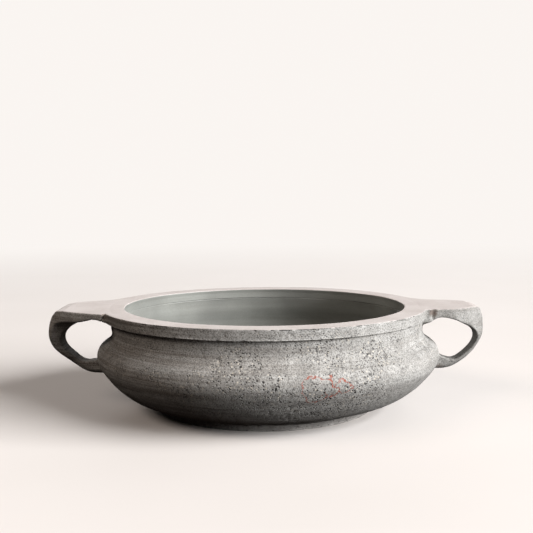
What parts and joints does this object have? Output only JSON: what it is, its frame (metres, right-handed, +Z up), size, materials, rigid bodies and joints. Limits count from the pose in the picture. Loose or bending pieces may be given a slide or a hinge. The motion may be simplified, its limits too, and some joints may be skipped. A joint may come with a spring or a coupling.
{
  "type": "two-handled stone bowl",
  "caption": "Low carved stone bowl with a flat flanged rim, hollowed neck, swollen belly, low foot ring and loop handles level with the rim.",
  "frame": {"origin": "on the surface the bowl stands on, under the centre of the mouth", "axes": "+Z up out of the mouth, +X through the right handle and -X through the left one, -Y towards the front"},
  "size_m": [0.24, 0.1892, 0.0562],
  "materials": {
    "body_stone": "rough carved grey stone, pitted and speckled, with faint level tool streaks",
    "rim_stone": "smooth rubbed stone with fine circular streaks and small chips on the edge",
    "foot_stone": "matt pale stone, worn where it stands",
    "handle_stone": "matt carved stone, rubbed smooth on the upper face"
  },
  "bodies": {
    "root": {"bowl_body": "body_stone", "rim_ring": "rim_stone", "foot_ring": "foot_stone", "left_handle": "handle_stone", "right_handle": "handle_stone"}
  },
  "joints": []
}
